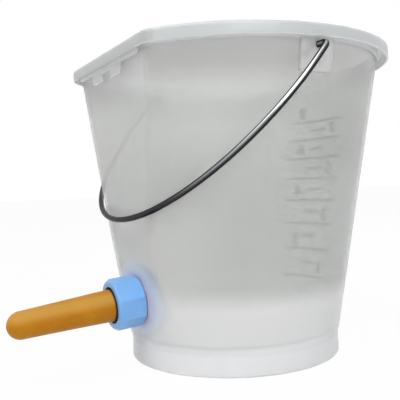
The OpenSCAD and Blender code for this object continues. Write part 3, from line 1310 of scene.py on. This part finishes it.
    @staticmethod
    def drill(r: float, span: Pair, sides: int, place: Matrix) -> bpy.types.Mesh:
        """Makes a round bar to cut a hole with.

        Args:
            r: The hole's radius.
            span: Where the bar starts and ends along its axis.
            sides: Number of sides.
            place: Where it goes.

        Returns:
            The mesh.
        """
        first, last = span
        mesh = turned([(0.0, first), (r, first), (r, last), (0.0, last)], turn_angles(sides))
        mesh.transform(place)
        return mesh


@dataclass
class LitreScale:
    """Litre marks and numbers moulded through the back of the wall. Millimetres and degrees."""

    bucket: Bucket
    litres: int = 8
    slice_h: float = 0.25
    long_mark: Pair = (-25.0, 8.0)
    long_steps: int = 24
    short_mark: Pair = (-13.0, -4.0)
    short_steps: int = 8
    mark_sides: int = 12
    proud: float = 0.1
    font_size: float = 18.2
    font_steps: int = 6
    digit_lift: float = 4.0
    digit_left: float = -18.0
    digit_right: float = 1.0

    def level(self, litres: float) -> float:
        """Height to which that much milk fills the bucket.

        Args:
            litres: The volume.

        Returns:
            The height above the ground.
        """
        left = litres * CUBIC_MM_PER_LITRE
        z = self.bucket.floor_z + self.bucket.floor_t
        while left > 0:
            inside = self.bucket.inner(z)
            lost = math.acos(inside.flat / inside.r)
            area = inside.r**2 * (math.pi - lost + math.sin(lost) * math.cos(lost))
            left -= area * self.slice_h
            z += self.slice_h
        return z

    def on_wall(self, turn: float, z: float, out: float) -> Vector:
        """A point on the back of the wall.

        Args:
            turn: Angle from the middle of the back, growing towards +X, in degrees.
            z: Height.
            out: Distance proud of the wall.

        Returns:
            The point, in metres.
        """
        a = math.radians(turn)
        r = self.bucket.wall(z).r + out
        return Vector((r * math.sin(a), r * math.cos(a), z)) * MM

    def build(self, mould: NodeMould, finish: ScaleInk) -> None:
        """Makes the marks and the numbers.

        Args:
            mould: The tree that draws bars.
            finish: Their ink.
        """
        material = finish.material()
        middle = -self.bucket.wall_t / 2
        kinds = ((self.long_mark, self.long_steps), (self.short_mark, self.short_steps))
        paths = []
        for half in range(1, 2 * self.litres + 1):
            z = self.level(half / 2)
            span, steps = kinds[half % 2]
            paths.append([self.on_wall(turn, z, middle) for turn in spread(*span, steps)])
        lines = path_mesh(paths)
        bar_r = (self.proud - middle) * MM
        marks = mould.cast(lines, Radius=bar_r, Sides=self.mark_sides, Material=material)
        add_piece("litre_marks", marks, material, Body.BUCKET, Slot.BLUE)
        for number in range(1, self.litres + 1):
            turn = self.digit_left if number % 2 == 0 else self.digit_right
            add_piece(f"litre_digit_{number}", self.digit(number, turn), material, Body.BUCKET, Slot.BLUE)

    def digit(self, number: int, turn: float) -> bpy.types.Mesh:
        """A raised number above its mark, bent to the wall.

        Args:
            number: The number.
            turn: Its angle from the middle of the back, in degrees.

        Returns:
            The mesh.
        """
        middle = self.bucket.wall_t / 2
        curve = bpy.data.curves.new("digit", "FONT")
        curve.body = str(number)
        curve.size = self.font_size
        curve.extrude = middle + self.proud
        curve.align_x = "CENTER"
        curve.resolution_u = self.font_steps
        mesh = evaluated_mesh(to_object(curve.name, curve))
        base = self.level(number) + self.digit_lift
        for vert in mesh.vertices:
            z = base + vert.co.y
            angle = turn - math.degrees(vert.co.x / self.bucket.wall(z).r)
            vert.co = self.on_wall(angle, z, vert.co.z - middle)
        return mesh


# Bail


@dataclass
class Bail:
    """The wire bail, hanging against the flat side. Millimetres."""

    pivot: Vector
    tilt: float
    wire_r: float = 2.5
    half: float = 153.5
    arm: float = 16.5
    arm_row: float = 0.7
    bend_r: float = 6.0
    hook_x: float = 131.9
    hook_r: float = 5.0
    hook_tail: float = 4.0
    sides: int = 28

    def half_path(self) -> Profile:
        """Draws half of the wire's middle, before the bail hangs.

        Returns:
            X and Z of its points, from the hook on +X to the bottom of the bow.
        """
        path = [(self.hook_x, -self.hook_r - self.hook_tail)]
        path += arc(self.hook_x + self.hook_r, -self.hook_r, self.hook_r, 180, 90, 8)
        path += arc(self.half - self.bend_r, -self.bend_r, self.bend_r, 90, 0, 10)
        path += [(self.half, -self.arm * self.arm_row)]
        return path + arc(0.0, -self.arm, self.half, 0, -90, 72)

    def build(self, mould: NodeMould, finish: DrawnWire) -> None:
        """Makes the bail.

        Args:
            mould: The tree that draws bars.
            finish: The wire's finish.
        """
        half = self.half_path()
        path = half + [(-x, z) for x, z in reversed(half[:-1])]
        hang = Matrix.Translation(self.pivot) @ Matrix.Rotation(-self.tilt, 4, "X")
        points = [hang @ Vector((x * MM, 0.0, z * MM)) for x, z in path]
        up = hang.to_3x3() @ Vector((0.0, -1.0, 0.0))
        wire_r = self.wire_r * MM
        material = finish.material(self.pivot, up, wire_r)
        wire = path_mesh([points])
        mesh = mould.cast(wire, Radius=wire_r, Sides=self.sides, Material=material)
        add_piece("bail_wire", mesh, material, Body.BAIL, Slot.STEEL, ["bail"])


# Valve, teat and nut


# Shares of half a thread's pitch that its crest and its flank take up
CREST_SHARE = 0.25
FLANK_SHARE = 0.5


def thread_wave(s: float, angle: float, pitch: float) -> float:
    """Depth of a thread, from 0 on its crest to 1 at its root, at a place along and round its axis."""
    share = abs((s / pitch - angle / (2 * math.pi)) % 1.0 - 0.5) * 2
    return min(1.0, max(0.0, (share - CREST_SHARE) / FLANK_SHARE))


@dataclass
class Valve:
    """The valve in the flat wall, with its gasket, ball and cage. Millimetres along its axis, outwards."""

    place: Matrix
    flange_r: float = 27.0
    flange_s: float = -12.9917
    flange_t: float = 7.5
    edge: float = 0.8
    stem_r: float = 17.0
    stem_s: float = 16.0
    stem_clear: float = 1.0
    back_ring: float = 2.0
    front_ring: float = 0.5
    inlet_r: float = 6.5
    inlet_edge: float = 1.0
    seat_t: float = 6.5
    chamber_r: float = 11.0
    cage_r: float = 12.0
    cage_s: float = 12.0
    cage_ring: float = 3.0
    cage_edge: float = 0.4
    bar_w: float = 3.0
    bar_in: float = 1.0
    bars: int = 4
    ball_r: float = 8.3
    ball_s: float = 3.5
    ball_step: int = 3
    ridge_h: float = 0.06
    ridge_half: float = 2.0
    rib_r: float = 8.5
    rib_w: float = 3.0
    rib_in: float = 0.5
    ribs: int = 4
    gasket_r: float = 25.0
    gasket_s: float = -5.4917
    gasket_t: float = 3.0
    gasket_edge: float = 0.6
    scallops: int = 8
    scallop_r: float = 3.0
    scallop_depth: float = 1.5
    scallop_slope: float = 0.6
    pitch: float = 4.0
    thread_depth: float = 1.3
    thread_from: float = 1.5
    thread_to: float = 14.5
    thread_steps: int = 64
    hair: float = 0.02
    body_sides: int = 192
    ring_sides: int = 96

    def __post_init__(self) -> None:
        """Works out where the ball's seat is."""
        self.seat = self.flange_s + self.seat_t

    def grip(self, r: float, angle: float, s: float) -> float:
        """Distance from the axis to the flange's scalloped edge, or to the thread on the stem.

        Args:
            r: The plain distance.
            angle: Angle round the axis.
            s: Place along the axis.

        Returns:
            The distance.
        """
        if r > self.stem_r + self.stem_clear:
            step = 2 * math.pi / self.scallops
            off = (angle - step / 2) % step
            off = min(off, step - off)
            away = self.flange_r + self.scallop_r - self.scallop_depth
            reach = self.scallop_r**2 - (away * math.sin(off)) ** 2
            if off < math.pi / 2 and reach > 0:
                drawn_in = (self.flange_r - r) * self.scallop_slope
                return min(r, away * math.cos(off) - math.sqrt(reach) - drawn_in)
            return r
        if r == self.stem_r and self.thread_from <= s <= self.thread_to:
            return r - self.thread_depth * thread_wave(s, angle, self.pitch)
        return r

    def body_profile(self) -> Profile:
        """Draws the valve body.

        Returns:
            Its profile, closed round its bore.
        """
        s0, e, stem, inlet = self.flange_s, self.edge, self.stem_r, self.inlet_r
        front = s0 + self.flange_t
        path = [(inlet + e, s0), (stem + self.back_ring, s0)]
        path += arc(self.flange_r - e, s0 + e, e, -90, 0, 3) + arc(self.flange_r - e, front - e, e, 0, 90, 3)
        path += [(stem + self.front_ring, front), (stem, front), (stem, 0.0)]
        path += [(stem, self.thread_from - self.hair)]
        path += [(stem, s) for s in spread(self.thread_from, self.thread_to, self.thread_steps)]
        path += [(stem, self.thread_to + self.hair)] + arc(stem - e, self.stem_s - e, e, 0, 90, 3)
        path += [(self.cage_r, self.stem_s), (self.cage_r, self.cage_s), (self.chamber_r, self.cage_s)]
        path += [(self.chamber_r, self.seat), (inlet + self.inlet_edge, self.seat)]
        return path + [(inlet, self.seat - self.inlet_edge), (inlet, s0 + e)]

    def build(self, mould: NodeMould, blue: MouldedPlastic, white: MouldedPlastic, red: SoftRubber) -> None:
        """Makes the valve's pieces.

        Args:
            mould: The tree that sets copies round the axis.
            blue: The body's finish.
            white: The finish of the ball and cage.
            red: The gasket's finish.
        """
        material, white_material = blue.material(), white.material()
        body = turned(self.body_profile(), turn_angles(self.body_sides), self.grip)
        add_piece("valve_body_shell", body, material, Body.BUCKET, Slot.BLUE, ["valve_body"], self.place)
        size = (self.chamber_r - self.rib_r + self.rib_in, self.rib_w, self.cage_s - self.seat)
        rib = edged_bar(size, self.rib_r, self.seat, self.cage_edge)
        guides = mould.cast(rib, Count=self.ribs, Start=0.0, Material=material)
        add_piece("ball_guides", guides, material, Body.BUCKET, Slot.BLUE, place=self.place)
        self.build_gasket(red)
        self.build_cage(mould, white_material)
        self.build_ball(white_material)

    def build_gasket(self, red: SoftRubber) -> None:
        """Makes the gasket between the flange and the wall.

        Args:
            red: Its finish.
        """
        e, outer = self.gasket_edge, self.gasket_r - self.gasket_edge
        first, last = self.gasket_s, self.gasket_s + self.gasket_t
        profile = arc(outer, first + e, e, -90, 0) + arc(outer, last - e, e, 0, 90)
        profile += [(self.stem_r, last), (self.stem_r, first)]
        mesh = turned(profile, turn_angles(self.ring_sides))
        material = red.material(self.place, self.gasket_r * MM)
        add_piece("gasket_ring", mesh, material, Body.BUCKET, Slot.RED, ["inner_gasket"], self.place)

    def build_cage(self, mould: NodeMould, material: bpy.types.Material) -> None:
        """Makes the ring and the crossed bars that keep the ball in.

        Args:
            mould: The tree that sets copies round the axis.
            material: Their finish.
        """
        e, outer, inner = self.cage_edge, self.cage_r, self.cage_r - self.cage_ring
        first, last = self.cage_s, self.stem_s
        profile = arc(outer - e, first + e, e, -90, 0, 2) + arc(outer - e, last - e, e, 0, 90, 2)
        profile += arc(inner + e, last - e, e, 90, 180, 2) + arc(inner + e, first + e, e, 180, 270, 2)
        ring = turned(profile, turn_angles(self.ring_sides))
        add_piece("cage_ring", ring, material, Body.BUCKET, Slot.WHITE, ["ball_cage"], self.place)
        bar = edged_bar((inner + self.bar_in, self.bar_w, last - first), 0.0, first, e)
        bars = mould.cast(bar, Count=self.bars, Start=math.pi / self.bars, Material=material)
        add_piece("cage_bars", bars, material, Body.BUCKET, Slot.WHITE, place=self.place)

    def build_ball(self, material: bpy.types.Material) -> None:
        """Makes the ball, with the fine ridge where its mould parted.

        Args:
            material: Its finish.
        """
        profile = []
        for degrees in range(-90, 91, self.ball_step):
            a = math.radians(degrees)
            r = self.ball_r + self.ridge_h * math.exp(-((degrees / self.ridge_half) ** 2))
            profile.append((r * math.cos(a), self.ball_s + r * math.sin(a)))
        mesh = turned(profile, turn_angles(self.ring_sides))
        add_piece("valve_ball_shell", mesh, material, Body.BALL, Slot.WHITE, ["valve_ball"], self.place)


@dataclass
class Teat:
    """The hollow rubber teat. Millimetres along the valve's axis, outwards."""

    place: Matrix
    back_s: float = 16.15
    flange_r: float = 17.0
    flange_t: float = 4.0
    root_r: float = 14.2
    tip_r: float = 11.5
    length: float = 93.8
    wall: float = 4.0
    end_t: float = 5.0
    hole_r: float = 1.5
    hole_edge: float = 0.5
    hole_round: float = 0.6
    edge: float = 0.6
    fillet: float = 1.0
    oval: float = 0.12
    oval_start: float = 1.1
    twist: float = 5.0
    twist_share: float = 0.5
    clamp_s: float = 25.4
    sides: int = 128

    def profile(self) -> Profile:
        """Draws the teat.

        Returns:
            Its profile, closed round its hollow.
        """
        e, f = self.edge, self.fillet
        front = self.back_s + self.flange_t
        dome = front + self.length - self.tip_r
        path = arc(self.flange_r - e, self.back_s + e, e, -90, 0, 3)
        path += arc(self.flange_r - e, front - e, e, 0, 90, 3)
        path += arc(self.root_r + f, front + f, f, -90, -180, 4)
        path += line((self.root_r, front + f), (self.tip_r, dome), 18)
        rim = math.degrees(math.acos((self.hole_r + self.hole_edge) / self.tip_r))
        path += arc(0.0, dome, self.tip_r, 0, rim, 20)
        path += [(self.hole_r, dome + self.tip_r - self.hole_round)]
        bore = self.tip_r - self.wall
        bore_dome = front + self.length - self.end_t - bore
        lip = math.degrees(math.acos(self.hole_r / bore))
        path += arc(0.0, bore_dome, bore, lip, 0, 10)
        return path + [(self.root_r - self.wall, self.back_s)]

    def hand_made(self, r: float, angle: float, s: float) -> float:
        """Makes the teat a little uneven, as soft rubber is.

        Args:
            r: The plain distance from the axis.
            angle: Angle round the axis.
            s: Place along the axis.

        Returns:
            The distance.
        """
        along = (s - self.back_s) / self.length
        wave = math.sin(2 * angle + self.oval_start) * math.sin(math.pi * along)
        wave += self.twist_share * math.sin(3 * angle + self.twist * along)
        return r + (self.oval * wave if self.tip_r < r < self.root_r else 0.0)

    def build(self, finish: SoftRubber) -> None:
        """Makes the teat.

        Args:
            finish: Its rubber.
        """
        mesh = turned(self.profile(), turn_angles(self.sides), self.hand_made)
        material = finish.material(self.place, self.root_r * MM, self.clamp_s * MM)
        add_piece("teat_rubber", mesh, material, Body.TEAT, Slot.AMBER, ["teat"], self.place)


# Degrees from a corner of the nut at which it gets points
CORNER_TURNS = (0.0, 0.5, 1.0, 1.6, 2.4, 4.0, 7.0, 11.0, 16.0)


@dataclass
class UnionNut:
    """The union nut that clamps the teat. Millimetres along the valve's axis, outwards."""

    place: Matrix
    sides: int = 8
    flat: float = 21.0
    flat_in: float = 2.0
    corner_round: float = 1.1
    corner_past: float = 0.2
    turn: float = 14.5
    back_s: float = 0.3
    lip_s: float = 20.3
    lip_edge: float = 0.3
    front_s: float = 25.3
    bore_r: float = 17.3
    bore_edge: float = 0.8
    front_r: float = 16.0
    chamfer: float = 3.0
    back_chamfer: float = 1.2
    chamfer_reach: float = 0.5
    back_break: float = 0.15
    front_break: float = 0.12
    edge: float = 0.5
    pitch: float = 4.0
    thread_depth: float = 0.9
    thread_ends: float = 1.5
    thread_steps: int = 72

    def outline(self, angle: float) -> float:
        """Distance from the axis to the nut's flats and round corners.

        Args:
            angle: Angle round the axis.

        Returns:
            The distance.
        """
        step = 2 * math.pi / self.sides
        half = step / 2
        off = abs((angle - math.radians(self.turn)) % step - half)
        inner = self.flat - self.corner_round
        if off <= math.atan2(inner * math.tan(half), self.flat):
            return self.flat / math.cos(off)
        away = inner / math.cos(half)
        past = half - off
        return away * math.cos(past) + math.sqrt(self.corner_round**2 - (away * math.sin(past)) ** 2)

    def shape(self, r: float, angle: float, s: float) -> float:
        """Distance from the axis at an angle and place.

        Args:
            r: The plain distance. Outside, it is the cone that the chamfers follow.
            angle: Angle round the axis.
            s: Place along the axis.

        Returns:
            The distance.
        """
        if r > self.flat - self.flat_in:
            return min(r, self.outline(angle))
        if r == self.bore_r and self.back_s + self.thread_ends < s < self.lip_s - self.thread_ends:
            return r + self.thread_depth * (1 - thread_wave(s, angle, self.pitch))
        return r

    def profile(self) -> Profile:
        """Draws the nut.

        Returns:
            Its profile, closed round its bore.
        """
        e, back, front, bore = self.edge, self.back_s, self.front_s, self.bore_r
        tip = self.flat / math.cos(math.pi / self.sides) + self.corner_past
        face = self.flat - self.chamfer_reach
        first, last = (tip, back + self.back_chamfer), (tip, front - self.chamfer)
        path = [(bore + self.bore_edge, back), (face - e, back), (face, back + self.back_break)]
        path += line((face, back), first, 6) + [first]
        path += line((tip, back), (tip, front), 8)[1:-1] + [last]
        path += line(last, (face, front), 12)
        path += [(face, front - self.front_break), (face - e, front)]
        path += arc(self.front_r + e, front - e, e, 90, 180, 3)
        path += [(self.front_r, self.lip_s + self.lip_edge), (self.front_r + self.lip_edge, self.lip_s)]
        mouth = (bore, back + self.bore_edge)
        return path + [(bore, self.lip_s)] + line((bore, self.lip_s), mouth, self.thread_steps) + [mouth]

    def build(self, finish: MouldedPlastic) -> None:
        """Makes the nut.

        Args:
            finish: Its plastic.
        """
        step = 360 / self.sides
        one = sorted({*CORNER_TURNS, step / 2, *(step - t for t in CORNER_TURNS[1:])})
        angles = [math.radians(self.turn + step * i + t) for i in range(self.sides) for t in one]
        mesh = turned(self.profile(), angles, self.shape)
        material = finish.material()
        add_piece("union_nut_shell", mesh, material, Body.NUT, Slot.PALE_BLUE, ["union_nut"], self.place)


# Studio


@dataclass(frozen=True)
class SoftBox:
    """A lamp with a wide, soft face. Metres and watts."""

    name: str
    place: Triple
    size: Pair
    power: float

    def build(self, aim: Triple) -> None:
        """Makes the lamp.

        Args:
            aim: The point that it faces.
        """
        light = bpy.data.lights.new(self.name, "AREA")
        light.shape = "RECTANGLE"
        light.size, light.size_y = self.size
        light.energy = self.power
        lamp = to_object(self.name, light)
        lamp.location = self.place
        ahead = Vector(aim) - Vector(self.place)
        lamp.rotation_euler = ahead.to_track_quat("-Z", "Y").to_euler()


@dataclass
class Studio:
    """The floor, the light and the camera. Metres and degrees."""

    distance: float = 0.584
    azimuth: float = 58.0
    eye_height: float = 0.154
    yaw: float = -2.8
    pitch: float = -1.0
    roll: float = -2.2
    focal_px: float = 605.0
    image_px: float = 400.0
    sensor: float = 36.0
    near: float = 0.01
    floor_size: float = 40.0
    floor_z: float = -0.0002
    floor_colour: Colour = (0.86, 0.86, 0.86, 1.0)
    floor_rough: float = 0.9
    white_share: float = 0.96
    soft_colour: Colour = (0.95, 0.97, 1.0, 1.0)
    soft_power: float = 0.39
    aim: Triple = (0.0, 0.0, 0.14)
    lamps: Tuple[SoftBox, ...] = (
        SoftBox("key_box", (0.35, -0.75, 1.4), (1.6, 0.7), 11.0),
        SoftBox("side_box", (1.5, -0.4, 1.0), (0.9, 0.9), 8.5),
        SoftBox("back_box", (-0.9, 1.2, 1.3), (0.9, 0.9), 7.0),
    )

    def build_floor(self) -> None:
        """Makes a pale floor that shows white and still takes the object's shadow."""
        half = self.floor_size / 2
        corners = [(-half, -half, 0), (half, -half, 0), (half, half, 0), (-half, half, 0)]
        mesh = bpy.data.meshes.new("floor")
        mesh.from_pydata(corners, [], [(0, 1, 2, 3)])
        floor = to_object("floor", mesh)
        floor.location.z = self.floor_z
        material, g = new_graph("studio_floor")
        pale = g.principled(Base_Color=self.floor_colour, Roughness=self.floor_rough)
        white = g.node("ShaderNodeEmission", inputs={"Color": WHITE, "Strength": 1.0})
        g.surface(g.node("ShaderNodeMixShader", inputs={0: seen(g) * self.white_share, 1: pale, 2: white}))
        mesh.materials.append(material)

    def build_world(self) -> None:
        """Makes soft light from all round, and a white background."""
        world = bpy.data.worlds.new("studio")
        bpy.context.scene.world = world
        world.use_nodes = True
        g = Graph(world.node_tree)
        soft = g.node("ShaderNodeBackground", inputs={"Color": self.soft_colour, "Strength": self.soft_power})
        white = g.node("ShaderNodeBackground", inputs={"Color": WHITE, "Strength": 1.0})
        g.surface(g.node("ShaderNodeMixShader", inputs={0: seen(g), 1: soft, 2: white}))

    def build_camera(self) -> None:
        """Makes the camera, at the photograph's angle."""
        a = math.radians(self.azimuth)
        y, p, r = (math.radians(v) for v in (self.yaw, self.pitch, self.roll))
        ahead, right = Vector((-math.sin(a), math.cos(a), 0)), Vector((math.cos(a), math.sin(a), 0))
        up = Vector((0, 0, 1))
        ahead, right = ahead * math.cos(y) + right * math.sin(y), right * math.cos(y) - ahead * math.sin(y)
        ahead, up = ahead * math.cos(p) + up * math.sin(p), up * math.cos(p) - ahead * math.sin(p)
        right, up = right * math.cos(r) + up * math.sin(r), up * math.cos(r) - right * math.sin(r)
        data = bpy.data.cameras.new("camera")
        data.sensor_width = self.sensor
        data.lens = self.sensor * self.focal_px / self.image_px
        data.clip_start = self.near
        camera = to_object("camera", data)
        place = Vector((self.distance * math.sin(a), -self.distance * math.cos(a), self.eye_height))
        turn = Matrix((right, up, -ahead)).transposed()
        camera.matrix_world = Matrix.Translation(place) @ turn.to_4x4()
        bpy.context.scene.camera = camera

    def build(self) -> None:
        """Makes the whole studio."""
        bpy.context.scene.view_settings.view_transform = "Standard"
        self.build_floor()
        self.build_world()
        for lamp in self.lamps:
            lamp.build(self.aim)
        self.build_camera()


def seen(g: Graph) -> Signal:
    """Picks the rays that show a plain white.

    Args:
        g: The graph that asks.

    Returns:
        1 for rays from the camera, off gloss or through a clear shader, and 0 for all others.
    """
    kinds = ("Camera", "Glossy", "Transmission")
    camera, gloss, clear = (g.node("ShaderNodeLightPath", output=f"Is {kind} Ray") for kind in kinds)
    return camera.most(gloss).most(clear)


def named(rows: Sequence[Dict[str, object]], name: str) -> Dict[str, object]:
    """The row of the frame that has that name."""
    return next(row for row in rows if row["name"] == name)


def valve_place() -> Matrix:
    """Finds the valve's axis.

    Returns:
        Its place, with the origin on the flat wall and +Z pointing out of the wall.
    """
    nut = named(frame["joints"], "nut_turn")
    out = Vector(nut["axis"]).normalized()
    side = Vector((1.0, 0.0, 0.0))
    turn = Matrix((side, out.cross(side), out)).transposed()
    return Matrix.Translation(Vector(nut["pos_m"])) @ turn.to_4x4()


def main() -> None:
    """Builds the studio and every piece of the bucket."""
    logging.basicConfig(level=logging.INFO, format="%(message)s")
    Studio().build()
    place = valve_place()
    pivot = Vector(named(frame["joints"], "bail_swing")["pos_m"])
    hang = Vector(named(frame["record"]["mounts"], "bail_lift")["pos_m"]) - pivot
    sweep, ring = sweep_mould(), ring_mould()
    bucket = Bucket()
    bucket.build(MilkyPlastic(), place, pivot)
    LitreScale(bucket).build(sweep, ScaleInk())
    Bail(pivot, math.atan2(-hang.y, -hang.z)).build(sweep, DrawnWire())
    blue = MouldedPlastic("blue_plastic", (0.20, 0.47, 0.95, 1.0), (0.16, 0.42, 0.88, 1.0))
    pale_blue = MouldedPlastic("pale_blue_plastic", (0.215, 0.485, 0.885, 1.0), (0.175, 0.42, 0.82, 1.0))
    white = MouldedPlastic("white_plastic", (0.85, 0.85, 0.83, 1.0), (0.78, 0.78, 0.75, 1.0))
    red = SoftRubber("red_rubber", (0.85, 0.12, 0.16, 1.0), (0.75, 0.09, 0.12, 1.0), (0.88, 0.2, 0.22, 1.0))
    amber = SoftRubber(
        "amber_rubber", (0.555, 0.217, 0.003, 1.0), (0.465, 0.168, 0.002, 1.0), (0.66, 0.38, 0.08, 1.0)
    )
    Valve(place).build(ring, blue, white, red)
    Teat(place).build(amber)
    UnionNut(place).build(pale_blue)


if __name__ == "__main__":
    main()
